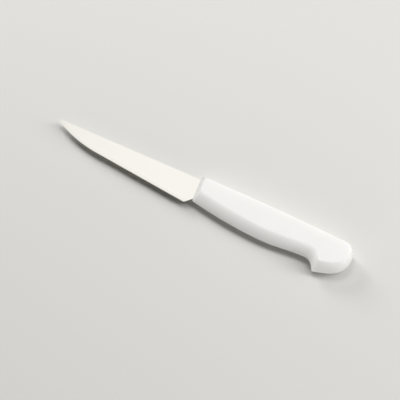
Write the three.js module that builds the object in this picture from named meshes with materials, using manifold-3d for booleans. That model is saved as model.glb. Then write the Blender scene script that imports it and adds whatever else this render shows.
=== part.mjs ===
// A kitchen knife that lies on its side: one stamped steel blade, whose tang runs into a handle moulded in
// one piece. Millimetres. The tip points to -X, the spine to +Y, and +Z is up.
//
// Both pieces are drawn from one datum, the point where the blade's spine meets the front of the handle. A
// station is a distance back from it along X, so the blade has negative ones. A depth is a distance down from
// the spine line towards the cutting edge, so it runs along -Y. Both pieces are alike above and below their
// middle.

import * as THREE from 'three';
import { mergeVertices } from 'three/addons/utils/BufferGeometryUtils.js';
import Module from 'manifold-3d';

// Blade, seen from the side
const BLADE_LENGTH = 123.6; // from the tip to the front of the handle
const HEEL_DEPTH = 22.2; // from the spine to the cutting edge at the heel
const HEEL_CHAMFER = 5.1; // corner cut off the heel, alike along and down
const EDGE_ANGLE = 5.9; // degrees between the spine and the straight stretch of the edge
const EDGE_SWEEP = 41; // length of the curved stretch of the edge, from the tip back
const TIP_DEPTH = 0.5; // fall of the spine at the tip
const TIP_NOSE = 5; // length over which the spine falls
const TIP_FLAT = 0.5; // blunt end of the tip

// Blade, seen from the end
const SPINE_THICKNESS = 1.6;
const TIP_THICKNESS = 0.9; // thickness of the spine at the tip
const SHOULDER_THICKNESS = 0.5; // where the flat grind meets the edge bevel
const EDGE_BEVEL = 0.8; // width of the edge bevel
const EDGE_LAND = 0.12; // thickness left at the cutting edge

// Tang
const BLADE_BITE = 6; // how far the blade's full depth runs into the handle
const TANG_ROOT = 1.5; // how far the tang's own thickness reaches forward into that
const TANG_LENGTH = 80; // from the front of the handle to the tang's round end
const TANG_TOP = 4.5; // from the blade's spine down to the tang
const TANG_HEEL = 1.6; // from the blade's lower corner in the handle up to the tang
const HOLE_DIAMETER = 5.5; // holes that the handle's plastic runs through and locks in
const FIRST_HOLE = 28; // station of the first hole; more follow as far as the tang's round end
const HOLE_PITCH = 28;

// Handle, its outline at half its thickness
const HANDLE_THICKNESS = 13.5;
const FRONT_SLANT = 6.2; // degrees that the front leans back from square
const FRONT_LIP = 1.6; // handle below the blade, at the front
const SPINE_PROUD = 0.9; // handle above the blade's spine line, at the front
const SPINE_DROP = 2.6; // fall of the handle's spine on its way to the butt
const BELLY_SLOPE = 0.19; // slope of the belly as it leaves the front
const SWELL_DEPTH = 25.6; // where the belly is fullest
const SWELL_RUN = 30.5; // from there to the waist
const GRIP_LENGTH = 94.5; // from the front to the waist, where the finger hollow starts
const WAIST_DEPTH = 23.3;
const HOLLOW_RADIUS = 8.5; // finger hollow in front of the beak
const BEAK_LEAN = 1.1; // beak behind the hollow's own radius
const BEAK_DEPTH = 31.6;
const POMMEL_LENGTH = 22.5; // from the beak to the butt
const POMMEL_RAKE = 15; // degrees that the pommel's underside rises as it leaves the beak
const BUTT_DEPTH = 11; // where the butt reaches farthest back
const BUTT_CORNER = 8.6; // length of the round between the butt and the spine
const BUTT_FULLNESS = 0.63; // squareness of the rounds at the butt; 0.55 would be circular
const SPINE_CORNER = 0.8; // roundings of the outline's corners
const BELLY_CORNER = 1.4;
const BEAK_CORNER = 0.6;

// Handle, the flat on each side, set in from the outline
const FRONT_INSET = 4.4;
const SPINE_INSET = 0.9;
const BELLY_INSET = 7.6;
const FLANK_INSET = 1.5; // beak and finger hollow, along the handle
const BEAK_INSET = 7.3; // beak, across the handle
const BUTT_INSET = 4.2;
const HOLLOW_INSET = 0.3; // finger hollow, off its radius
const FLAT_CORNER = 0.5; // roundings of the flat's corners

// Handle, roundness of the side between the flat and the outline: 1 is a straight bevel, 2 an ellipse
const FRONT_ROUNDNESS = 1.12;
const BELLY_ROUNDNESS = 1.4;
const HOLLOW_ROUNDNESS = 1.6;
const BEAK_ROUNDNESS = 1.15;
const BUTT_ROUNDNESS = 1.7;
const SPINE_ROUNDNESS = 2.2;

const CLEARANCE = 0.3; // between the blade and the handle's cavity for it

// Steps in which the blade's curves are drawn
const NOSE_STEPS = 5;
const SWEEP_STEPS = 14;
const STRAIGHT_STEPS = 3;
const ARC_STEPS = 24;

// Steps in which the handle's curves are drawn
const FRONT_STEPS = 5;
const BELLY_STEPS = 16;
const GRIP_STEPS = 9;
const HOLLOW_STEPS = 9;
const FLANK_STEPS = 3;
const POMMEL_STEPS = 14;
const BUTT_STEPS = 10;
const SPINE_STEPS = 14;
const CORNER_STEPS = 4;
const SIDE_STEPS = 8;

const wasm = await Module();
wasm.setup();

const at = (station, depth) => new THREE.Vector2(station, -depth);
const tangent = (degrees) => Math.tan(THREE.MathUtils.degToRad(degrees));
const turned = (vector, angle) => vector.clone().rotateAround(new THREE.Vector2(), angle);
const frontStation = (depth) => depth * tangent(FRONT_SLANT);
const level = new THREE.Vector2(1, 0);
const upright = new THREE.Vector2(0, 1);

// Makes a closed geometry into a solid that can be joined and cut.
function solidOf(geometry) {
  geometry.deleteAttribute('normal');
  geometry.deleteAttribute('uv');
  const merged = mergeVertices(geometry);
  const vertProperties = new Float32Array(merged.attributes.position.array);
  const triVerts = new Uint32Array(merged.index.array);
  return new wasm.Manifold(new wasm.Mesh({ numProp: 3, vertProperties, triVerts }));
}

function geometryOf(solid) {
  const { vertProperties, triVerts } = solid.getMesh();
  const geometry = new THREE.BufferGeometry();
  geometry.setAttribute('position', new THREE.BufferAttribute(vertProperties, 3));
  geometry.setIndex(new THREE.BufferAttribute(triVerts, 1));
  geometry.computeVertexNormals();
  return geometry;
}

// A closed skin through rings of as many points each, with a flat cap on the first and the last ring. Seen
// from outside the first cap the rings run anticlockwise, and flatten gives a point's place in that view.
function loft(rings, flatten) {
  const count = rings[0].length;
  const lastRing = (rings.length - 1) * count;
  const positions = rings.flat().flatMap((point) => point.toArray());
  const faces = [];
  for (let start = 0; start < lastRing; start += count) {
    for (let i = 0; i < count; i++) {
      const here = start + i;
      const next = start + ((i + 1) % count);
      faces.push(here, here + count, next);
      faces.push(next, here + count, next + count);
    }
  }
  for (const [a, b, c] of THREE.ShapeUtils.triangulateShape(rings[0].map(flatten), [])) {
    faces.push(a, b, c);
  }
  for (const [a, b, c] of THREE.ShapeUtils.triangulateShape(rings.at(-1).map(flatten), [])) {
    faces.push(lastRing + a, lastRing + c, lastRing + b);
  }
  const geometry = new THREE.BufferGeometry();
  geometry.setAttribute('position', new THREE.Float32BufferAttribute(positions, 3));
  geometry.setIndex(faces);
  return solidOf(geometry);
}

// A plate of the given shape, half its thickness above and half below the middle.
function plate(shape, thickness) {
  const geometry = new THREE.ExtrudeGeometry(shape, {
    depth: thickness,
    bevelEnabled: false,
    curveSegments: ARC_STEPS,
  });
  geometry.translate(0, 0, -thickness / 2);
  return solidOf(geometry);
}

// The blade's side view. The chamfer behind the heel ends at the front of the handle. The edge runs straight
// from the heel, then along the one circle that touches that straight stretch where the sweep starts, and
// that meets the tip.
const chamferDepth = HEEL_DEPTH - HEEL_CHAMFER;
const chamferStation = frontStation(chamferDepth);
const heelStation = chamferStation - HEEL_CHAMFER;
const sweepStation = EDGE_SWEEP - BLADE_LENGTH;
const straightDepth = (station) => HEEL_DEPTH + (station - heelStation) * tangent(EDGE_ANGLE);
const sweepStart = at(sweepStation, straightDepth(sweepStation));
const sweepChord = at(-BLADE_LENGTH, TIP_DEPTH + TIP_FLAT).sub(sweepStart);
const sweepNormal = turned(upright, THREE.MathUtils.degToRad(-EDGE_ANGLE));
const sweepRadius = sweepChord.lengthSq() / (2 * sweepChord.dot(sweepNormal));
const sweepCentre = sweepStart.clone().addScaledVector(sweepNormal, sweepRadius);

function edgeDepth(station) {
  if (station >= sweepStation) {
    return straightDepth(station);
  }
  return Math.sqrt(sweepRadius ** 2 - (station - sweepCentre.x) ** 2) - sweepCentre.y;
}

// The spine is straight, and falls along a quarter of an ellipse at the tip.
function spineDepth(station) {
  const run = Math.max(0, 1 - (station + BLADE_LENGTH) / TIP_NOSE);
  return TIP_DEPTH * (1 - Math.sqrt(1 - run ** 2));
}

// One cross-section of the blade: flat ground from the spine to a shoulder, then bevelled to the edge.
function bladeSection(station, margin) {
  const spine = spineDepth(station) - margin;
  const edge = edgeDepth(station) + margin;
  const shoulder = edge - Math.min(EDGE_BEVEL, (edge - spine) / 2);
  const towardsTip = Math.max(0, -station / BLADE_LENGTH);
  const spineThickness = THREE.MathUtils.lerp(SPINE_THICKNESS, TIP_THICKNESS, towardsTip);
  const upper = [
    [spine, spineThickness],
    [shoulder, SHOULDER_THICKNESS],
    [edge, EDGE_LAND],
  ].map(([depth, thickness]) => new THREE.Vector3(station, -depth, thickness / 2 + margin));
  const lower = upper.map((point) => new THREE.Vector3(point.x, point.y, -point.z));
  return [...lower, ...upper.reverse()];
}

function bladeStations(rear) {
  const tip = -BLADE_LENGTH;
  const nose = tip + TIP_NOSE;
  const stations = [];
  for (let i = 0; i < NOSE_STEPS; i++) {
    stations.push(tip + TIP_NOSE * (1 - Math.cos((i / NOSE_STEPS) * (Math.PI / 2))));
  }
  for (let i = 0; i < SWEEP_STEPS; i++) {
    stations.push(THREE.MathUtils.lerp(nose, sweepStation, i / SWEEP_STEPS));
  }
  for (let i = 0; i <= STRAIGHT_STEPS; i++) {
    stations.push(THREE.MathUtils.lerp(sweepStation, rear, i / STRAIGHT_STEPS));
  }
  return stations;
}

// What is cut off the blade behind the heel: all that lies below the chamfer and below the blade in the
// handle.
function heelCut(rear, margin) {
  const below = HEEL_DEPTH * 2;
  const drop = margin * Math.SQRT2;
  return plate(new THREE.Shape([
    at(heelStation - HEEL_CHAMFER, HEEL_DEPTH + HEEL_CHAMFER + drop),
    at(heelStation - HEEL_CHAMFER, below),
    at(rear + HEEL_CHAMFER, below),
    at(rear + HEEL_CHAMFER, chamferDepth + margin),
    at(chamferStation + drop - margin, chamferDepth + margin),
  ]), 2 * (SPINE_THICKNESS + margin));
}

// The tang, a flat strip with a round end and locking holes.
function tang(margin) {
  const bottom = chamferDepth - TANG_HEEL;
  const middle = (TANG_TOP + bottom) / 2;
  const radius = (bottom - TANG_TOP) / 2;
  const front = BLADE_BITE - TANG_ROOT;
  const roundStation = TANG_LENGTH - radius;
  const shape = new THREE.Shape();
  shape.moveTo(front, margin - TANG_TOP);
  shape.lineTo(front, -bottom - margin);
  shape.lineTo(roundStation, -bottom - margin);
  shape.absarc(roundStation, -middle, radius + margin, -Math.PI / 2, Math.PI / 2, false);
  for (let station = FIRST_HOLE; station <= roundStation; station += HOLE_PITCH) {
    const hole = new THREE.Path();
    hole.absarc(station, -middle, HOLE_DIAMETER / 2 - margin, 0, 2 * Math.PI, true);
    shape.holes.push(hole);
  }
  return plate(shape, SPINE_THICKNESS + 2 * margin);
}

// The blade with its tang, with every face moved outward by the margin: none for the blade itself, the
// clearance for the cavity that the handle has round it.
function bladeSolid(margin) {
  const rear = BLADE_BITE + margin;
  const sections = bladeStations(rear).map((station) => bladeSection(station, margin));
  const body = loft(sections, (point) => new THREE.Vector2(-point.y, point.z));
  return body.subtract(heelCut(rear, margin)).add(tang(margin));
}

// The handle's outline at half its thickness, with inset 0, or the edge of the flat on its side, with inset
// 1, as curves that run anticlockwise from the top of the front. Each curve has its roundness at its start.
function handleCurves(inset) {
  const corner = (length) => THREE.MathUtils.lerp(length, FLAT_CORNER, inset);
  const frontLine = (depth) => at(frontStation(depth) + inset * FRONT_INSET, depth);
  const top = inset * SPINE_INSET - SPINE_PROUD;
  const beakStation = GRIP_LENGTH + HOLLOW_RADIUS + BEAK_LEAN;
  const buttStation = beakStation + POMMEL_LENGTH;

  const spineFront = frontLine(top);
  const bellyFront = frontLine(chamferDepth + FRONT_LIP - inset * BELLY_INSET);
  const swell = at(GRIP_LENGTH - SWELL_RUN, SWELL_DEPTH - inset * BELLY_INSET);
  const waist = at(GRIP_LENGTH + inset * FLANK_INSET, WAIST_DEPTH - inset * BELLY_INSET);
  const beak = at(beakStation + inset * FLANK_INSET, BEAK_DEPTH - inset * BEAK_INSET);
  const butt = at(buttStation - inset * BUTT_INSET, BUTT_DEPTH);
  const spineRear = at(buttStation - BUTT_CORNER - inset * SPINE_INSET, top + SPINE_DROP);

  // The hollow is an arc from the waist to where a line from the beak touches it.
  const hollowRadius = HOLLOW_RADIUS - inset * HOLLOW_INSET;
  const hollowCentre = waist.clone().add(at(0, hollowRadius));
  const beakReach = beak.clone().sub(hollowCentre);
  const touchAngle = beakReach.angle() + Math.acos(hollowRadius / beakReach.length());
  const touch = turned(level, touchAngle).multiplyScalar(hollowRadius).add(hollowCentre);

  // Directions in which the curves leave their corners
  const along = (from, to) => to.clone().sub(from).normalize();
  const spineControl = at((spineFront.x + spineRear.x) / 2, top);
  const downFront = along(spineFront, bellyFront);
  const alongBelly = at(1, BELLY_SLOPE).normalize();
  const alongFlank = along(touch, beak);
  const alongPommel = at(1, -tangent(POMMEL_RAKE)).normalize();
  const alongSpine = along(spineControl, spineRear);
  const step = (point, direction, length) => point.clone().addScaledVector(direction, length);

  const frontTop = step(spineFront, downFront, corner(SPINE_CORNER));
  const frontBottom = step(bellyFront, downFront, -corner(BELLY_CORNER));
  const bellyStart = step(bellyFront, alongBelly, corner(BELLY_CORNER));
  const flankEnd = step(beak, alongFlank, -corner(BEAK_CORNER));
  const pommelStart = step(beak, alongPommel, corner(BEAK_CORNER));
  const spineEnd = step(spineFront, level, corner(SPINE_CORNER));

  const bellyThird = (swell.x - bellyStart.x) / 3;
  const waistThird = (waist.x - swell.x) / 3;
  const pommelRun = (butt.x - beak.x) * BUTT_FULLNESS;
  const pommelRise = (butt.y - beak.y) * BUTT_FULLNESS;
  const buttRise = (spineRear.y - butt.y) * BUTT_FULLNESS;
  const buttRun = (butt.x - spineRear.x) * BUTT_FULLNESS;

  const line = (a, b) => new THREE.LineCurve(a, b);
  const cubic = (a, b, c, d) => new THREE.CubicBezierCurve(a, b, c, d);
  const rounding = (a, b, c) => new THREE.QuadraticBezierCurve(a, b, c);
  const hollow = new THREE.EllipseCurve(
    hollowCentre.x, hollowCentre.y, hollowRadius, hollowRadius, Math.PI / 2, touchAngle, true,
  );
  const belly = cubic(
    bellyStart, step(bellyStart, alongBelly, bellyThird), step(swell, level, -bellyThird), swell,
  );
  const grip = cubic(swell, step(swell, level, waistThird), step(waist, level, -waistThird), waist);
  const pommel = cubic(
    pommelStart, step(pommelStart, alongPommel, pommelRun), step(butt, upright, -pommelRise), butt,
  );
  const buttRound = cubic(
    butt, step(butt, upright, buttRise), step(spineRear, alongSpine, buttRun), spineRear,
  );
  const bellyCorner = rounding(frontBottom, bellyFront, bellyStart);
  const beakCorner = rounding(flankEnd, beak, pommelStart);
  const spine = rounding(spineRear, spineControl, spineEnd);
  const spineCorner = rounding(spineEnd, spineFront, frontTop);
  return [
    { curve: line(frontTop, frontBottom), steps: FRONT_STEPS, roundness: FRONT_ROUNDNESS },
    { curve: bellyCorner, steps: CORNER_STEPS, roundness: FRONT_ROUNDNESS },
    { curve: belly, steps: BELLY_STEPS, roundness: BELLY_ROUNDNESS },
    { curve: grip, steps: GRIP_STEPS, roundness: BELLY_ROUNDNESS },
    { curve: hollow, steps: HOLLOW_STEPS, roundness: HOLLOW_ROUNDNESS },
    { curve: line(touch, flankEnd), steps: FLANK_STEPS, roundness: HOLLOW_ROUNDNESS },
    { curve: beakCorner, steps: CORNER_STEPS, roundness: BEAK_ROUNDNESS },
    { curve: pommel, steps: POMMEL_STEPS, roundness: BEAK_ROUNDNESS },
    { curve: buttRound, steps: BUTT_STEPS, roundness: BUTT_ROUNDNESS },
    { curve: spine, steps: SPINE_STEPS, roundness: SPINE_ROUNDNESS },
    { curve: spineCorner, steps: CORNER_STEPS, roundness: SPINE_ROUNDNESS },
  ];
}

// A ring of points round a list of curves. The roundness goes evenly from each curve's to the next one's.
function ringOf(curves) {
  return curves.flatMap(({ curve, steps, roundness }, index) => {
    const next = curves[(index + 1) % curves.length].roundness;
    return curve.getSpacedPoints(steps).slice(0, -1).map((point, i) => ({
      point,
      roundness: THREE.MathUtils.lerp(roundness, next, i / steps),
    }));
  });
}

// The handle without its cavity. At each point of the outline its side falls from the edge of the flat along
// a quarter of a superellipse, whose exponent is the roundness there, and the lower half mirrors the upper.
function handleBody() {
  const outline = ringOf(handleCurves(0));
  const flat = ringOf(handleCurves(1));
  const rings = [];
  for (let i = -SIDE_STEPS; i <= SIDE_STEPS; i++) {
    const angle = (1 - Math.abs(i) / SIDE_STEPS) * (Math.PI / 2);
    rings.push(outline.map(({ point, roundness }, j) => {
      const power = 2 / roundness;
      const plan = flat[j].point.clone().lerp(point, Math.sin(angle) ** power);
      const height = Math.cos(angle) ** power * (HANDLE_THICKNESS / 2);
      return new THREE.Vector3(plan.x, plan.y, -Math.sign(i) * height);
    }));
  }
  return loft(rings, (point) => new THREE.Vector2(point.x, point.y));
}

function piece(name, solid, look) {
  const mesh = new THREE.Mesh(geometryOf(solid), new THREE.MeshStandardMaterial(look));
  mesh.name = name;
  return mesh;
}

const steel = { color: 0xd9d7d2, roughness: 0.3, metalness: 1 };
const plastic = { color: 0xf4f3f1, roughness: 0.45, metalness: 0 };

const knife = new THREE.Group();
knife.add(piece('blade', bladeSolid(0), steel));
knife.add(piece('handle', handleBody().subtract(bladeSolid(CLEARANCE)), plastic));

// The knife rests on the handle's lower flat, with the middle of its box over the origin.
const box = new THREE.Box3().setFromObject(knife, true);
const middle = box.getCenter(new THREE.Vector3());
knife.position.set(-middle.x, -middle.y, -box.min.z);

export default knife;
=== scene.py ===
"""Looks of a plain pointed kitchen knife with a white moulded handle, around its packed frame.

The knife lies on its side: +X runs from the tip to the butt, +Y from the cutting edge to the spine, and +Z is
up. Both pieces are drawn from one datum, the point where the blade's spine meets the front of the handle. A
station is a distance back from it along +X, and a depth a distance down from the spine line along -Y. Lengths
are in metres.
"""
import math

import bpy
import numpy as np
from bpy.props import FloatProperty, FloatVectorProperty, PointerProperty
from bpy.types import Operator, Panel, PropertyGroup
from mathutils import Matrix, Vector


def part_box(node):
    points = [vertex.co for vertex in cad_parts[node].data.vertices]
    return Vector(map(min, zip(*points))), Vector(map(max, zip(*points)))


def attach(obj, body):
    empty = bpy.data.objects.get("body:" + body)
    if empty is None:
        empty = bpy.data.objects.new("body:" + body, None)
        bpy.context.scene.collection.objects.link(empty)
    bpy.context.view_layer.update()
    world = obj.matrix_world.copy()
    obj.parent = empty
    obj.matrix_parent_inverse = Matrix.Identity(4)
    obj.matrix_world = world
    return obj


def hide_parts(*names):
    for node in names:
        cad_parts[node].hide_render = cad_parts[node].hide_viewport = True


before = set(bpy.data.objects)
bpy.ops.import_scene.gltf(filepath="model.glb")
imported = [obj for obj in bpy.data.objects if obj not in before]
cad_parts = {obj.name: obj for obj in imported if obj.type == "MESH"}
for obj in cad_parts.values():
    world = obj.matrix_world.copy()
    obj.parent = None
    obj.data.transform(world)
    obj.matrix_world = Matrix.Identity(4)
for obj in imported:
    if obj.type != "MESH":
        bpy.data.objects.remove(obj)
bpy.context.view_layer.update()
BLADE_LOW, BLADE_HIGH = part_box("blade")
HANDLE_LOW, HANDLE_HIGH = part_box("handle")

bl_info = {
    "name": "Cheese knife",
    "version": (1, 0, 0),
    "blender": (4, 5, 0),
    "location": "3D View > Sidebar > Knife",
    "description": "Builds a pointed kitchen knife with a moulded handle, and a stage to show it on",
    "category": "Object",
}

MM = 0.001
BODY = "root"  # nothing on the knife moves, so it has one body

# Fineness of the surfaces, in steps
CURVE_POINTS = 400  # points in which a curve is drawn before it is spaced evenly
FRONT_STEPS = 20  # half of the front
CORNER_STEPS = 16
BELLY_STEPS = 140
GRIP_STEPS = 80
HOLLOW_STEPS = 64
FLANK_STEPS = 24
POMMEL_STEPS = 110
BUTT_STEPS = 110
LOWER_STEPS = (
    FRONT_STEPS + 2 * CORNER_STEPS + BELLY_STEPS + GRIP_STEPS + HOLLOW_STEPS + FLANK_STEPS + POMMEL_STEPS
)
SPINE_STEPS = LOWER_STEPS - FRONT_STEPS - CORNER_STEPS - BUTT_STEPS  # as many above the middle as below it
SIDE_STEPS = 24  # from the edge of a flat to the outline
FLAT_STEPS = 8  # across a flat
NOSE_STEPS = 24  # where the spine falls to the tip
SWEEP_STEPS = 80  # the rest of the edge's curved stretch
STRAIGHT_STEPS = 60
CHAMFER_STEPS = 16
TANG_STEPS = 12  # the tang's round end
ROUND_STEPS = 5  # each long corner of the spine
GRIND_STEPS = 16
BEVEL_STEPS = 3
FLOOR_SIDES = 180
CREASE_ANGLE = math.radians(8)  # a sharper fold than this stays a visible edge

# Polypropylene: its patterns as they are drawn, its roughness, and how far light gets in
CLOUD_WIDTH = 22 * MM
GRAIN_WIDTH = 0.7 * MM
GRAIN_DEPTH = 0.02 * MM
GRAIN_STRENGTH = 0.08
PLASTIC_ROUGHNESS = (0.4, 0.52)  # at the lowest and the highest of the grain
PLASTIC_IOR = 1.49
SCATTER_DEPTH = 4 * MM
SCATTER_COLOUR = (1, 0.95, 0.9)  # red gets in a little farther than blue

# Stainless steel: its grind lines as they are drawn, and its roughness
LINE_WIDTH = 0.6 * MM
LINE_STRETCH = 50  # length of a line over its width
LINE_DEPTH = 0.01 * MM
LINE_STRENGTH = 0.1
STEEL_ROUGHNESS = (0.26, 0.4)  # at the lowest and the highest of the lines
BEVEL_ROUGHNESS = 0.2
BEVEL_MARK = "edge_bevel"  # attribute that is 1 on the faces of the edge bevel

# Sockets of the Mix node that share their names with others, so they go by number
FIRST_NUMBER, SECOND_NUMBER = 2, 3
FIRST_COLOUR, SECOND_COLOUR, MIXED_COLOUR = 6, 7, 2

# Soft lamps that look at the knife: angles in degrees, azimuth from the side of the edge, and metres
LAMPS = {
    "sheen": {"azimuth": 205, "elevation": 62, "distance": 1.4, "width": 0.8, "height": 0.6},
    "high": {"azimuth": 120, "elevation": 66, "distance": 1.5, "width": 0.6, "height": 0.6},
    "back": {"azimuth": 225, "elevation": 66, "distance": 1.5, "width": 0.6, "height": 0.6},
    "right": {"azimuth": 108, "elevation": 30, "distance": 1.5, "width": 0.6, "height": 1.0},
    "left": {"azimuth": 240, "elevation": 26, "distance": 1.5, "width": 0.6, "height": 0.6},
    "front": {"azimuth": 0, "elevation": 9, "distance": 1.5, "width": 0.8, "height": 0.6},
}
MIRRORED = "sheen"  # the brighter lamps would burn out the steel that mirrored them


def linear(code):
    """The linear colour of an sRGB hex value: a straight line near black, and a power above it."""
    channels = np.array([int(code[i:i + 2], 16) for i in (1, 3, 5)]) / 255
    low = channels / 12.92
    high = ((channels + 0.055) / 1.055) ** 2.4
    return tuple(np.where(channels <= 0.04045, low, high).tolist())


def length(name, description, millimetres):
    """A length that a user can set. It is written in millimetres and held in metres."""
    return FloatProperty(
        name=name, description=description, default=millimetres * MM, precision=5,
        unit="LENGTH", subtype="DISTANCE",
    )


def angle(name, description, degrees):
    """An angle that a user can set. It is written in degrees and held in radians."""
    return FloatProperty(
        name=name, description=description, default=math.radians(degrees), unit="ROTATION", subtype="ANGLE"
    )


def factor(name, description, value):
    """A plain number that a user can set."""
    return FloatProperty(name=name, description=description, default=value)


def colour(name, description, code):
    """A colour that a user can set. It is written as an sRGB hex value and held as a linear one."""
    return FloatVectorProperty(
        name=name, description=description, default=linear(code), min=0, max=1, size=3, subtype="COLOR"
    )


class BladeSizes(PropertyGroup):
    """Sizes of the blade and its tang."""

    blade_length: length("Blade length", "From the tip to the front of the handle", 123.6)
    heel_depth: length("Heel depth", "From the spine to the cutting edge at the heel", 22.2)
    heel_chamfer: length("Heel chamfer", "Corner cut off the heel, alike along and down", 5.1)
    edge_angle: angle("Edge angle", "Between the spine and the straight stretch of the edge", 5.9)
    edge_sweep: length("Edge sweep", "Length of the curved stretch of the edge, from the tip back", 41)
    tip_depth: length("Tip depth", "Fall of the spine at the tip", 0.5)
    tip_nose: length("Tip nose", "Length over which the spine falls", 5)
    tip_flat: length("Tip flat", "Blunt end of the tip", 0.5)
    tip_share: factor("Tip share", "Share of the thickness that is left at the very tip", 0.35)
    spine_thickness: length("Spine thickness", "Thickness of the spine", (BLADE_HIGH.z - BLADE_LOW.z) / MM)
    tip_thickness: length("Tip thickness", "Thickness of the spine just before the tip", 0.9)
    shoulder_thickness: length("Shoulder thickness", "Where the flat grind meets the edge bevel", 0.5)
    edge_bevel: length("Edge bevel", "Width of the edge bevel", 0.8)
    edge_land: length("Edge land", "Thickness left at the cutting edge", 0.12)
    spine_round: length("Spine rounding", "Radius of the spine's two long corners", 0.15)
    blade_bite: length("Blade bite", "How far the blade's full depth runs into the handle", 6)
    tang_length: length("Tang length", "From the front of the handle to the tang's round end", 80)
    tang_top: length("Tang top", "From the blade's spine down to the tang", 4.5)
    tang_heel: length("Tang heel", "From the blade's lower corner in the handle up to the tang", 1.6)


class HandleSizes(PropertyGroup):
    """Sizes of the handle's outline at half its thickness."""

    thickness: length("Thickness", "From one flat to the other", (HANDLE_HIGH.z - HANDLE_LOW.z) / MM)
    front_slant: angle("Front slant", "How far the front leans back from square", 6.2)
    front_lip: length("Front lip", "Handle below the blade, at the front", 1.6)
    spine_proud: length("Spine proud", "Handle above the blade's spine line, at the front", 0.9)
    spine_drop: length("Spine drop", "Fall of the handle's spine on its way to the butt", 2.6)
    belly_slope: factor("Belly slope", "Slope of the belly as it leaves the front", 0.19)
    swell_depth: length("Swell depth", "Depth where the belly is fullest", 25.6)
    swell_run: length("Swell run", "From the fullest place of the belly to the waist", 30.5)
    grip_length: length("Grip length", "From the front to the waist, where the finger hollow starts", 94.5)
    waist_depth: length("Waist depth", "Depth of the waist", 23.3)
    hollow_radius: length("Hollow radius", "Finger hollow in front of the beak", 8.5)
    beak_lean: length("Beak lean", "Beak behind the hollow's own radius", 1.1)
    beak_depth: length("Beak depth", "Depth of the beak", 31.6)
    pommel_length: length("Pommel length", "From the beak to the butt", 22.5)
    pommel_rake: angle("Pommel rake", "Rise of the pommel's underside as it leaves the beak", 15)
    butt_depth: length("Butt depth", "Depth where the butt reaches farthest back", 11)
    butt_corner: length("Butt corner", "Length of the round between the butt and the spine", 8.6)
    butt_fullness: factor("Butt fullness", "Squareness of the butt's rounds; 0.55 would be circular", 0.63)
    spine_corner: length("Spine corner", "Rounding between the spine and the front", 0.8)
    belly_corner: length("Belly corner", "Rounding between the front and the belly", 1.4)
    beak_corner: length("Beak corner", "Rounding of the beak", 0.6)
    parting_height: length("Parting height", "How proud the line stands where the mould's halves met", 0.05)
    parting_width: length("Parting width", "Half width of that line", 0.15)


class HandleFlat(PropertyGroup):
    """How far the flat on each side of the handle is set in from the outline."""

    front_inset: length("Front inset", "At the front, along the handle", 4.4)
    spine_inset: length("Spine inset", "At the spine", 0.9)
    belly_inset: length("Belly inset", "At the belly", 7.6)
    flank_inset: length("Flank inset", "At the beak and the finger hollow, along the handle", 1.5)
    beak_inset: length("Beak inset", "At the beak, across the handle", 7.3)
    butt_inset: length("Butt inset", "At the butt", 4.2)
    hollow_inset: length("Hollow inset", "Off the finger hollow's radius", 0.3)
    flat_corner: length("Flat corner", "Roundings of the flat's corners", 0.5)


class HandleRoundness(PropertyGroup):
    """Roundness of the side between the flat and the outline: 1 is a straight bevel, 2 an ellipse."""

    front: factor("Front", "Roundness at the front", 1.12)
    belly: factor("Belly", "Roundness at the belly", 1.4)
    hollow: factor("Hollow", "Roundness in the finger hollow", 1.6)
    beak: factor("Beak", "Roundness at the beak", 1.15)
    butt: factor("Butt", "Roundness at the butt", 1.7)
    spine: factor("Spine", "Roundness at the spine", 2.2)


class KnifeColours(PropertyGroup):
    """Colours of the knife and of its stage."""

    plastic: colour("Plastic", "White of the moulded handle", "#F3F2F0")
    plastic_shade: colour("Plastic shade", "The same white where the melt ran a little greyer", "#EFEEEC")
    steel: colour("Steel", "Ground steel, seen straight on", "#E7E4DE")
    floor: colour("Floor", "Plain pale floor", "#DBDAD6")
    backdrop: colour("Backdrop", "What shows above the floor", "#FFFFFF")


class StageSettings(PropertyGroup):
    """Where the camera stands and how the knife is lit."""

    camera_azimuth: angle("Camera azimuth", "Round the knife, from the side of the cutting edge", 26.2)
    camera_elevation: angle("Camera elevation", "Above the floor", 63)
    camera_distance: length("Camera distance", "From the point that the camera looks at", 646.7)
    camera_field: angle("Camera field", "Width of the camera's view", 26)
    camera_target_x: length("Camera target X", "Point that the camera looks at, along the knife", 5.6)
    camera_target_y: length("Camera target Y", "Point that the camera looks at, across the knife", -0.18)
    sheen_brightness: factor("Sheen brightness", "Radiance that a mirrored panel adds to the backdrop", 0.29)
    high_brightness: factor("High brightness", "Radiance of the window high above the butt", 4.9)
    back_brightness: factor("Back brightness", "Radiance of the window high behind the spine", 6.2)
    right_brightness: factor("Right brightness", "Radiance of the window behind the butt", 6.4)
    left_brightness: factor("Left brightness", "Radiance of the window behind the tip", 9.4)
    front_brightness: factor("Front brightness", "Radiance of the low panel in front of the edge", 2.9)
    fill_brightness: factor("Fill brightness", "Radiance of the light from all round, where 1 is white", 0.03)
    floor_size: length("Floor size", "Width of the round floor", 1800)
    floor_gap: length("Floor gap", "Floor below the handle's lower flat", 0.05)


def point(station, depth):
    """A point in the side view, seen from above, with the datum as its origin."""
    return np.array((station, -depth))


def unit(vector):
    """The direction of a vector."""
    return vector / np.linalg.norm(vector)


def bezier(*controls):
    """A Bezier curve as a fine polyline: its control points, each weighted by its Bernstein polynomial."""
    share = np.linspace(0, 1, CURVE_POINTS)[:, None]
    degree = len(controls) - 1
    terms = [
        math.comb(degree, k) * (1 - share) ** (degree - k) * share ** k * control
        for k, control in enumerate(controls)
    ]
    return sum(terms)


def arc(centre, radius, start, end):
    """A stretch of a circle as a fine polyline."""
    turn = np.linspace(start, end, CURVE_POINTS)
    return centre + radius * np.column_stack([np.cos(turn), np.sin(turn)])


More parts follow.
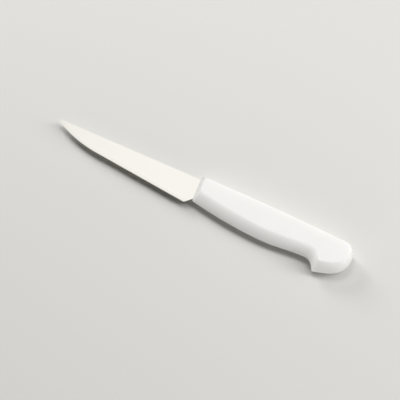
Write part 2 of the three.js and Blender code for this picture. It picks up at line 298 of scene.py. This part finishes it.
def spaced(curve, steps):
    """Points that lie evenly along a polyline, with its last point left out."""
    run = np.concatenate([[0], np.cumsum(np.linalg.norm(np.diff(curve, axis=0), axis=1))])
    wanted = np.linspace(0, run[-1], steps, endpoint=False)
    return np.column_stack([np.interp(wanted, run, curve[:, 0]), np.interp(wanted, run, curve[:, 1])])


def grid_faces(numbers):
    """The quads of a grid of vertex numbers.

    They face along the step from row to row crossed with the step from column to column.
    """
    corners = (numbers[:-1, :-1], numbers[1:, :-1], numbers[1:, 1:], numbers[:-1, 1:])
    return np.stack(corners, axis=-1).reshape(-1, 4)


def datum(scene):
    """Where the blade's spine meets the front of the handle, half way up its thickness."""
    station = BLADE_LOW.x + scene.knife_blade.blade_length
    return np.array((station, BLADE_HIGH.y, (HANDLE_LOW.z + HANDLE_HIGH.z) / 2))


def heel(scene):
    """Depth and station of the chamfer's rear end, which lies at the front of the handle."""
    depth = scene.knife_blade.heel_depth - scene.knife_blade.heel_chamfer
    return depth, depth * math.tan(scene.knife_handle.front_slant)


def handle_curves(scene, inset):
    """The handle's outline at half its thickness with inset 0, or the edge of its flat with inset 1.

    Gives curves that run anticlockwise from the middle of the front, each with its steps and the roundness of
    the side at its start. Straight stretches are lines, the hollow is an arc from the waist to where a line
    from the beak touches it, and the other stretches are Bezier curves that leave their ends along the
    neighbours.
    """
    sizes, flat, roundness = scene.knife_handle, scene.knife_flat, scene.knife_roundness
    chamfer_depth, _ = heel(scene)

    def corner(size):
        return size + inset * (flat.flat_corner - size)

    def front_line(depth):
        return point(depth * math.tan(sizes.front_slant) + inset * flat.front_inset, depth)

    top = inset * flat.spine_inset - sizes.spine_proud
    beak_station = sizes.grip_length + sizes.hollow_radius + sizes.beak_lean
    butt_station = beak_station + sizes.pommel_length
    spine_front = front_line(top)
    belly_front = front_line(chamfer_depth + sizes.front_lip - inset * flat.belly_inset)
    swell = point(sizes.grip_length - sizes.swell_run, sizes.swell_depth - inset * flat.belly_inset)
    waist = point(sizes.grip_length + inset * flat.flank_inset, sizes.waist_depth - inset * flat.belly_inset)
    beak = point(beak_station + inset * flat.flank_inset, sizes.beak_depth - inset * flat.beak_inset)
    butt = point(butt_station - inset * flat.butt_inset, sizes.butt_depth)
    spine_rear = point(butt_station - sizes.butt_corner - inset * flat.spine_inset, top + sizes.spine_drop)

    radius = sizes.hollow_radius - inset * flat.hollow_inset
    centre = waist + point(0, radius)
    reach = beak - centre
    touch_turn = math.atan2(reach[1], reach[0]) + math.acos(radius / np.linalg.norm(reach))
    touch = centre + radius * np.array((math.cos(touch_turn), math.sin(touch_turn)))

    level, upright = point(1, 0), point(0, -1)
    spine_control = point((spine_front[0] + spine_rear[0]) / 2, top)
    down_front = unit(belly_front - spine_front)
    along_belly = unit(point(1, sizes.belly_slope))
    along_flank = unit(beak - touch)
    along_pommel = unit(point(1, -math.tan(sizes.pommel_rake)))
    along_spine = unit(spine_rear - spine_control)

    front_top = spine_front + corner(sizes.spine_corner) * down_front
    front_bottom = belly_front - corner(sizes.belly_corner) * down_front
    front_middle = (front_top + front_bottom) / 2
    belly_start = belly_front + corner(sizes.belly_corner) * along_belly
    flank_end = beak - corner(sizes.beak_corner) * along_flank
    pommel_start = beak + corner(sizes.beak_corner) * along_pommel
    spine_end = spine_front + corner(sizes.spine_corner) * level

    belly_third = (swell[0] - belly_start[0]) / 3
    waist_third = (waist[0] - swell[0]) / 3
    pommel_run, pommel_rise = (butt - beak) * sizes.butt_fullness
    butt_run, butt_rise = (spine_rear - butt) * sizes.butt_fullness
    belly = bezier(belly_start, belly_start + belly_third * along_belly, swell - belly_third * level, swell)
    grip = bezier(swell, swell + waist_third * level, waist - waist_third * level, waist)
    hollow = arc(centre, radius, math.pi / 2, touch_turn)
    pommel_pull = pommel_start + pommel_run * along_pommel
    pommel = bezier(pommel_start, pommel_pull, butt - pommel_rise * upright, butt)
    butt_round = bezier(butt, butt + butt_rise * upright, spine_rear - butt_run * along_spine, spine_rear)
    return [
        (bezier(front_middle, front_bottom), FRONT_STEPS, roundness.front),
        (bezier(front_bottom, belly_front, belly_start), CORNER_STEPS, roundness.front),
        (belly, BELLY_STEPS, roundness.belly),
        (grip, GRIP_STEPS, roundness.belly),
        (hollow, HOLLOW_STEPS, roundness.hollow),
        (bezier(touch, flank_end), FLANK_STEPS, roundness.hollow),
        (bezier(flank_end, beak, pommel_start), CORNER_STEPS, roundness.beak),
        (pommel, POMMEL_STEPS, roundness.beak),
        (butt_round, BUTT_STEPS, roundness.butt),
        (bezier(spine_rear, spine_control, spine_end), SPINE_STEPS, roundness.spine),
        (bezier(spine_end, spine_front, front_top), CORNER_STEPS, roundness.spine),
        (bezier(front_top, front_middle), FRONT_STEPS, roundness.front),
    ]


def handle_ring(scene, inset):
    """Points that lie evenly along each of the handle's curves, and the roundness at each point.

    The roundness goes evenly over from that of one curve to that of the next.
    """
    curves = handle_curves(scene, inset)
    points = np.concatenate([spaced(curve, steps) for curve, steps, _ in curves])
    starts = [start for _, _, start in curves]
    ends = starts[1:] + starts[:1]
    roundness = [
        np.linspace(start, end, steps, endpoint=False) for (_, steps, start), end in zip(curves, ends)
    ]
    return points, np.concatenate(roundness)


def flat_cap(ring, ring_numbers, height, first_number):
    """The flat inside a ring, as a grid of straight lines across it.

    Line k runs from the k-th point after the middle of the front to the k-th point before it, so the lines
    fan out from the middle of the front and close on the butt. Gives the new points, the quads between the
    lines, and the triangles at both ends. All the faces look up.
    """
    half = len(ring) // 2
    lower = np.arange(half + 1)
    upper = -lower % len(ring)
    share = np.linspace(0, 1, FLAT_STEPS + 1)[1:-1]
    inner = slice(1, half)
    plan = ring[lower[inner], None] + share[:, None] * (ring[upper[inner], None] - ring[lower[inner], None])
    points = np.concatenate([plan, np.full(plan.shape[:2] + (1,), height)], axis=2).reshape(-1, 3)
    numbers = np.empty((half + 1, FLAT_STEPS + 1), int)
    numbers[:] = ring_numbers[lower][:, None]
    numbers[:, -1] = ring_numbers[upper]
    numbers[inner, 1:-1] = first_number + np.arange(len(points)).reshape(half - 1, -1)
    front = np.column_stack([numbers[0, :-1], numbers[1, :-1], numbers[1, 1:]])
    rear = np.column_stack([numbers[-2, :-1], numbers[-1, :-1], numbers[-2, 1:]])
    return points, grid_faces(numbers[inner]), np.concatenate([front, rear])


def handle_surface(scene):
    """The handle's skin as points and faces.

    Its two parameters are the place round the outline and a quarter turn up each side. At each place the side
    falls from the edge of the flat to the outline along a superellipse: the reach from flat to outline is the
    sine of the turn, and the height above the middle its cosine, both to the power of two over the roundness.
    A low ridge, the bell curve of the height, stands on the outline where the two halves of the mould met.
    """
    sizes = scene.knife_handle
    outline, roundness = handle_ring(scene, 0)
    flat, _ = handle_ring(scene, 1)
    rise = np.linspace(0, math.pi / 2, SIDE_STEPS + 1)
    turn = np.concatenate([rise, rise[-2::-1]])[:, None]
    side = np.sign(np.arange(-SIDE_STEPS, SIDE_STEPS + 1))[:, None]
    power = 2 / roundness
    height = side * np.cos(turn) ** power * sizes.thickness / 2
    reach = np.sin(turn) ** power
    along = np.roll(outline, -1, axis=0) - np.roll(outline, 1, axis=0)
    outward = np.column_stack([along[:, 1], -along[:, 0]]) / np.linalg.norm(along, axis=1)[:, None]
    ridge = sizes.parting_height * np.exp(-(height / sizes.parting_width) ** 2)
    plan = flat + reach[..., None] * (outline - flat) + ridge[..., None] * outward
    skin = np.concatenate([plan, height[..., None]], axis=2)
    numbers = np.arange(skin.shape[0] * skin.shape[1]).reshape(skin.shape[:2])
    around = np.concatenate([numbers, numbers[:, :1]], axis=1)
    top_height = sizes.thickness / 2
    top = flat_cap(plan[-1], numbers[-1], top_height, numbers.size)
    bottom = flat_cap(plan[0], numbers[0], -top_height, numbers.size + len(top[0]))
    points = np.concatenate([skin.reshape(-1, 3), top[0], bottom[0]]) + datum(scene)
    faces = [grid_faces(around.T), top[1], top[2], bottom[1][:, ::-1], bottom[2][:, ::-1]]
    return points, [corners for group in faces for corners in group.tolist()]


def blade_profile(scene):
    """Stations of the blade from its tip into the handle, with depth and half thickness at three places each.

    The places are the spine, the shoulder where the edge bevel starts, and the lower border. The edge is a
    straight line from the heel, then the one circle that touches it where the sweep starts and meets the tip.
    The spine falls along a quarter of an ellipse at the tip. Behind the heel the chamfer cuts the lower
    border, and the thickness there is what the flat grind has at that depth.
    """
    sizes = scene.knife_blade
    chamfer_depth, chamfer_station = heel(scene)
    heel_station = chamfer_station - sizes.heel_chamfer
    tip, sweep = -sizes.blade_length, sizes.edge_sweep - sizes.blade_length
    nose = tip + sizes.tip_nose
    slope = math.tan(sizes.edge_angle)
    start = point(sweep, sizes.heel_depth + (sweep - heel_station) * slope)
    chord = point(tip, sizes.tip_depth + sizes.tip_flat) - start
    normal = np.array((math.sin(sizes.edge_angle), math.cos(sizes.edge_angle)))
    radius = chord @ chord / (2 * (chord @ normal))
    centre = start + radius * normal

    station = np.concatenate([
        tip + sizes.tip_nose * (1 - np.cos(np.linspace(0, math.pi / 2, NOSE_STEPS, endpoint=False))),
        np.linspace(nose, sweep, SWEEP_STEPS, endpoint=False),
        np.linspace(sweep, heel_station, STRAIGHT_STEPS, endpoint=False),
        np.linspace(heel_station, chamfer_station, CHAMFER_STEPS, endpoint=False),
        np.array((chamfer_station, sizes.blade_bite)),
    ])
    straight = sizes.heel_depth + (station - heel_station) * slope
    swept = np.sqrt(np.maximum(radius ** 2 - (station - centre[0]) ** 2, 0)) - centre[1]
    edge = np.where(station < sweep, swept, straight)
    run = np.clip(1 - (station - tip) / sizes.tip_nose, 0, 1)
    fall = 1 - np.sqrt(1 - run ** 2)
    spine = sizes.tip_depth * fall
    chamfer = np.maximum(sizes.heel_depth + heel_station - station, chamfer_depth)
    lower = np.minimum(edge, np.where(station > heel_station, chamfer, edge))
    shoulder = edge - np.minimum(sizes.edge_bevel, (edge - spine) / 2)

    towards_tip = np.clip(station / tip, 0, 1)
    spine_half = (sizes.spine_thickness + towards_tip * (sizes.tip_thickness - sizes.spine_thickness)) / 2
    tip_share = 1 - fall * (1 - sizes.tip_share)
    spine_half = spine_half * tip_share
    shoulder_half = sizes.shoulder_thickness / 2 * tip_share
    edge_half = sizes.edge_land / 2

    def half_at(depth):
        ground = np.clip((depth - spine) / (shoulder - spine), 0, 1)
        bevelled = np.clip((depth - shoulder) / (edge - shoulder), 0, 1)
        half = spine_half + ground * (shoulder_half - spine_half)
        return half + bevelled * (edge_half - shoulder_half)

    # Where the chamfer cuts the shoulder away, the crease stays between the spine and the lower border
    crease = np.minimum(shoulder, lower - sizes.edge_land)
    crease = np.maximum(crease, (spine + lower) / 2)
    depths = np.column_stack([spine, crease, lower])
    halves = np.column_stack([spine_half, half_at(crease), half_at(lower)])
    return station, depths, halves


def tang_profile(scene):
    """The tang's stations with the same three depths and half thicknesses: a flat strip with a round end."""
    sizes = scene.knife_blade
    chamfer_depth, _ = heel(scene)
    radius = (chamfer_depth - sizes.tang_heel - sizes.tang_top) / 2
    middle = sizes.tang_top + radius
    turn = np.linspace(0, math.pi / 2, TANG_STEPS + 1)[:-1]
    station = np.concatenate([[sizes.blade_bite], sizes.tang_length - radius * (1 - np.sin(turn))])
    reach = np.concatenate([[radius], radius * np.cos(turn)])
    depths = np.column_stack([middle - reach, middle + reach / 2, middle + reach])
    halves = np.full(depths.shape, sizes.spine_thickness / 2)
    return station, depths, halves


def blade_surface(scene):
    """The blade's skin as points and faces, and for each face whether it is on the edge bevel.

    Its two parameters are the station and the way round the cross-section. Each half of the section starts
    at the spine, turns its corner on a small arc, runs straight to the shoulder and straight on to the lower
    border. The other half is its mirror image. The arc shrinks where the blade is too small for it.
    """
    sizes = scene.knife_blade
    parts = list(zip(blade_profile(scene), tang_profile(scene)))
    station, depths, halves = (np.concatenate(pair) for pair in parts)
    spine, crease, lower = (depths[:, [k]] for k in range(3))
    spine_half, crease_half, lower_half = (halves[:, [k]] for k in range(3))
    rounding = np.minimum(sizes.spine_round, np.minimum((crease - spine) / 3, spine_half / 2))
    turn = np.linspace(0, math.pi / 2, ROUND_STEPS + 1)
    ground = np.linspace(0, 1, GRIND_STEPS + 1)[1:]
    bevelled = np.linspace(0, 1, BEVEL_STEPS + 1)[1:]
    depth = np.concatenate([
        spine + rounding * (1 - np.cos(turn)),
        spine + rounding + ground * (crease - spine - rounding),
        crease + bevelled * (lower - crease),
    ], axis=1)
    half = np.concatenate([
        spine_half - rounding * (1 - np.sin(turn)),
        spine_half + ground * (crease_half - spine_half),
        crease_half + bevelled * (lower_half - crease_half),
    ], axis=1)
    loop_depth = np.concatenate([depth, depth[:, ::-1]], axis=1)
    loop_height = np.concatenate([half, -half[:, ::-1]], axis=1)
    loop_station = np.broadcast_to(station[:, None], loop_depth.shape)
    points = np.stack([loop_station, -loop_depth, loop_height], axis=2)
    numbers = np.arange(points.shape[0] * points.shape[1]).reshape(points.shape[:2])
    around = np.concatenate([numbers, numbers[:, :1]], axis=1)
    count = depth.shape[1]
    facing = np.stack([numbers[:, :count], numbers[:, :count - 1:-1]], axis=1)  # each section's two halves
    skin = grid_faces(around)[:, ::-1]
    faces = np.concatenate([skin, grid_faces(facing[0]), grid_faces(facing[-1])[:, ::-1]])

    first = count - BEVEL_STEPS - 1
    column = np.arange(2 * count)
    on_bevel = (column >= first) & (column < 2 * count - 1 - first)
    ahead = np.arange(len(station) - 1) < NOSE_STEPS + SWEEP_STEPS + STRAIGHT_STEPS
    bevel = np.zeros(len(faces))
    bevel[:len(skin)] = (ahead[:, None] & on_bevel).ravel()
    return points.reshape(-1, 3) + datum(scene), faces.tolist(), bevel


def make_piece(name, points, faces, material, node):
    """Puts a surface into the scene as a piece that rides on the knife and stands for a node of the frame."""
    mesh = bpy.data.meshes.new(name)
    mesh.from_pydata(points.tolist(), [], faces)
    mesh.polygons.foreach_set("use_smooth", np.ones(len(mesh.polygons), bool))
    mesh.set_sharp_from_angle(angle=CREASE_ANGLE)
    mesh.materials.append(material)
    mesh.update()
    if mesh.validate():
        raise RuntimeError(f"{name} has faces that don't hold")
    piece = bpy.data.objects.new(name, mesh)
    bpy.context.scene.collection.objects.link(piece)
    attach(piece, BODY)
    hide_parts(node)
    return piece


def add_node(tree, kind, inputs=None, **settings):
    """Adds a node.

    Settings are its own properties. Inputs go by name or number, as a value or a socket to link.
    """
    node = tree.nodes.new(kind)
    for name, value in settings.items():
        setattr(node, name, value)
    for socket, value in (inputs or {}).items():
        if isinstance(value, bpy.types.NodeSocket):
            tree.links.new(value, node.inputs[socket])
        else:
            node.inputs[socket].default_value = value
    return node


def new_material(name):
    """An empty material and its node tree."""
    material = bpy.data.materials.new(name)
    material.use_nodes = True
    material.node_tree.nodes.clear()
    return material, material.node_tree


def polypropylene(colours):
    """Injection-moulded white polypropylene from a lightly blasted mould.

    To the eye it is a half-matt white with soft, broad highlights and a waxy edge where light gets in. The
    blasting leaves a grain of about 0.2 mm, which is drawn at 0.7 mm, because the render can't show it finer.
    """
    material, tree = new_material("white_polypropylene")
    place = add_node(tree, "ShaderNodeTexCoord").outputs["Object"]
    cloud = add_node(tree, "ShaderNodeTexNoise", {"Vector": place, "Scale": 1 / CLOUD_WIDTH, "Detail": 2})
    grain = add_node(tree, "ShaderNodeTexNoise", {"Vector": place, "Scale": 1 / GRAIN_WIDTH, "Detail": 3})
    tint = add_node(tree, "ShaderNodeMix", {
        "Factor": cloud.outputs[0],
        FIRST_COLOUR: (*colours.plastic, 1),
        SECOND_COLOUR: (*colours.plastic_shade, 1),
    }, data_type="RGBA")
    gloss = add_node(tree, "ShaderNodeMapRange", {
        "Value": grain.outputs[0], "To Min": PLASTIC_ROUGHNESS[0], "To Max": PLASTIC_ROUGHNESS[1],
    })
    bump = add_node(tree, "ShaderNodeBump", {
        "Height": grain.outputs[0], "Strength": GRAIN_STRENGTH, "Distance": GRAIN_DEPTH,
    })
    shader = add_node(tree, "ShaderNodeBsdfPrincipled", {
        "Base Color": tint.outputs[MIXED_COLOUR],
        "Roughness": gloss.outputs[0],
        "Normal": bump.outputs[0],
        "IOR": PLASTIC_IOR,
        "Subsurface Weight": 1,
        "Subsurface Radius": SCATTER_COLOUR,
        "Subsurface Scale": SCATTER_DEPTH,
    })
    add_node(tree, "ShaderNodeOutputMaterial", {"Surface": shader.outputs[0]})
    return material


def ground_steel(colours):
    """Stainless steel, ground across the blade and honed along the edge.

    To the eye it is a bright satin, a little warm, with fine lines from the spine to the edge that draw
    highlights out along the blade, and a smoother, brighter bevel. The lines lie about 0.1 mm apart and are
    drawn at 0.6 mm, because the render can't show them finer.
    """
    material, tree = new_material("ground_stainless_steel")
    place = add_node(tree, "ShaderNodeTexCoord").outputs["Object"]
    across = add_node(tree, "ShaderNodeMapping", {
        "Vector": place, "Scale": (1, 1 / LINE_STRETCH, 1 / LINE_STRETCH),
    })
    lines = add_node(tree, "ShaderNodeTexNoise", {
        "Vector": across.outputs[0], "Scale": 1 / LINE_WIDTH, "Detail": 4, "Roughness": 0.6,
    })
    honed = add_node(tree, "ShaderNodeAttribute", attribute_name=BEVEL_MARK).outputs["Fac"]
    satin = add_node(tree, "ShaderNodeMapRange", {
        "Value": lines.outputs[0], "To Min": STEEL_ROUGHNESS[0], "To Max": STEEL_ROUGHNESS[1],
    })
    gloss = add_node(tree, "ShaderNodeMix", {
        "Factor": honed, FIRST_NUMBER: satin.outputs[0], SECOND_NUMBER: BEVEL_ROUGHNESS,
    }, data_type="FLOAT")
    bump = add_node(tree, "ShaderNodeBump", {
        "Height": lines.outputs[0], "Strength": LINE_STRENGTH, "Distance": LINE_DEPTH,
    })
    shader = add_node(tree, "ShaderNodeBsdfPrincipled", {
        "Base Color": (*colours.steel, 1),
        "Metallic": 1,
        "Roughness": gloss.outputs[0],
        "Normal": bump.outputs[0],
    })
    add_node(tree, "ShaderNodeOutputMaterial", {"Surface": shader.outputs[0]})
    return material


def pale_floor(colours):
    """A plain matt floor, which takes the knife's shadow."""
    material, tree = new_material("plain_pale_floor")
    shader = add_node(tree, "ShaderNodeBsdfDiffuse", {"Color": (*colours.floor, 1)})
    add_node(tree, "ShaderNodeOutputMaterial", {"Surface": shader.outputs[0]})
    return material


def light_all_round(stage, colours):
    """A world that lights the knife evenly. Seen directly or in a reflection it is the backdrop instead."""
    world = bpy.data.worlds.new("studio")
    world.use_nodes = True
    tree = world.node_tree
    tree.nodes.clear()
    rays = add_node(tree, "ShaderNodeLightPath").outputs
    mirrored = add_node(tree, "ShaderNodeMath", {
        0: rays["Is Glossy Ray"], 1: rays["Is Transmission Ray"],
    }, operation="MAXIMUM")
    seen = add_node(tree, "ShaderNodeMath", {
        0: rays["Is Camera Ray"], 1: mirrored.outputs[0],
    }, operation="MAXIMUM")
    fill = add_node(tree, "ShaderNodeBackground", {"Color": (1, 1, 1, 1), "Strength": stage.fill_brightness})
    backdrop = add_node(tree, "ShaderNodeBackground", {"Color": (*colours.backdrop, 1), "Strength": 1})
    either = add_node(tree, "ShaderNodeMixShader", {
        0: seen.outputs[0], 1: fill.outputs[0], 2: backdrop.outputs[0],
    })
    add_node(tree, "ShaderNodeOutputWorld", {"Surface": either.outputs[0]})
    return world


def towards(azimuth, elevation):
    """The direction from the knife to something round it. Azimuth 0 is on the side of the edge."""
    level = math.cos(elevation)
    return Vector((math.sin(azimuth) * level, -math.cos(azimuth) * level, math.sin(elevation)))


def place_looking(name, data, azimuth, elevation, distance, target):
    """Puts a camera or a lamp round the knife, looking at a target with its top up."""
    thing = bpy.data.objects.new(name, data)
    thing.location = target + distance * towards(azimuth, elevation)
    thing.rotation_euler = (math.pi / 2 - elevation, 0, azimuth)
    bpy.context.scene.collection.objects.link(thing)
    return thing


def make_lamp(name, brightness, azimuth, elevation, distance, width, height):
    """A soft lamp that looks at the knife. Its power is its brightness, a radiance, times pi and its area."""
    lamp = bpy.data.lights.new(name, "AREA")
    lamp.shape = "RECTANGLE"
    lamp.size = width
    lamp.size_y = height
    lamp.energy = brightness * math.pi * width * height
    place = (math.radians(azimuth), math.radians(elevation), distance)
    thing = place_looking(name, lamp, *place, Vector((0, 0, 0)))
    thing.visible_camera = False
    thing.visible_glossy = name == MIRRORED


def make_floor(stage, colours):
    """A round floor a little below the handle's lower flat. Its rim is a polygon of many sides."""
    turn = np.linspace(0, 2 * np.pi, FLOOR_SIDES, endpoint=False)
    reach = stage.floor_size / 2
    drop = HANDLE_LOW.z - stage.floor_gap
    rim = np.stack([reach * np.cos(turn), reach * np.sin(turn), np.full_like(turn, drop)], axis=1)
    mesh = bpy.data.meshes.new("floor")
    mesh.from_pydata(rim.tolist(), [], [range(FLOOR_SIDES)])
    mesh.materials.append(pale_floor(colours))
    floor = bpy.data.objects.new("floor", mesh)
    bpy.context.scene.collection.objects.link(floor)


class KNIFE_OT_blade(Operator):
    """Makes the ground steel blade with its tang"""

    bl_idname = "knife.make_blade"
    bl_label = "Make blade"

    def execute(self, context):
        points, faces, bevel = blade_surface(context.scene)
        steel = ground_steel(context.scene.knife_colours)
        piece = make_piece("ground_blade", points, faces, steel, "blade")
        attribute = piece.data.attributes.new(BEVEL_MARK, "FLOAT", "FACE")
        attribute.data.foreach_set("value", bevel)
        return {"FINISHED"}


class KNIFE_OT_handle(Operator):
    """Makes the moulded handle"""

    bl_idname = "knife.make_handle"
    bl_label = "Make handle"

    def execute(self, context):
        points, faces = handle_surface(context.scene)
        plastic = polypropylene(context.scene.knife_colours)
        make_piece("moulded_handle", points, faces, plastic, "handle")
        return {"FINISHED"}


class KNIFE_OT_stage(Operator):
    """Makes the floor, the light and the camera"""

    bl_idname = "knife.make_stage"
    bl_label = "Make stage"

    def execute(self, context):
        scene = context.scene
        stage, colours = scene.knife_stage, scene.knife_colours
        scene.view_settings.view_transform = "Standard"
        make_floor(stage, colours)
        for name, lamp in LAMPS.items():
            make_lamp(name, getattr(stage, f"{name}_brightness"), **lamp)
        scene.world = light_all_round(stage, colours)

        view = bpy.data.cameras.new("camera")
        view.angle = stage.camera_field
        target = Vector((stage.camera_target_x, stage.camera_target_y, datum(scene)[2]))
        scene.camera = place_looking(
            "camera", view, stage.camera_azimuth, stage.camera_elevation, stage.camera_distance, target
        )
        return {"FINISHED"}


class KNIFE_PT_sidebar(Panel):
    """Lists what makes the knife and its stage, and their sizes, colours and light"""

    bl_idname = "KNIFE_PT_sidebar"
    bl_label = "Cheese knife"
    bl_space_type = "VIEW_3D"
    bl_region_type = "UI"
    bl_category = "Knife"

    def draw(self, context):
        for maker in OPERATORS:
            self.layout.operator(maker.bl_idname)
        for name, group in GROUPS.items():
            box = self.layout.box()
            box.label(text=group.__doc__)
            for setting in group.__annotations__:
                box.prop(getattr(context.scene, name), setting)


GROUPS = {
    "knife_blade": BladeSizes,
    "knife_handle": HandleSizes,
    "knife_flat": HandleFlat,
    "knife_roundness": HandleRoundness,
    "knife_colours": KnifeColours,
    "knife_stage": StageSettings,
}
OPERATORS = (KNIFE_OT_blade, KNIFE_OT_handle, KNIFE_OT_stage)
CLASSES = (*GROUPS.values(), *OPERATORS, KNIFE_PT_sidebar)


def register():
    for known in CLASSES:
        bpy.utils.register_class(known)
    for name, group in GROUPS.items():
        setattr(bpy.types.Scene, name, PointerProperty(type=group))


def unregister():
    for name in GROUPS:
        delattr(bpy.types.Scene, name)
    for known in reversed(CLASSES):
        bpy.utils.unregister_class(known)


def main():
    """Makes the knife and its stage."""
    register()
    bpy.ops.knife.make_blade()
    bpy.ops.knife.make_handle()
    bpy.ops.knife.make_stage()


if __name__ == "__main__":
    main()
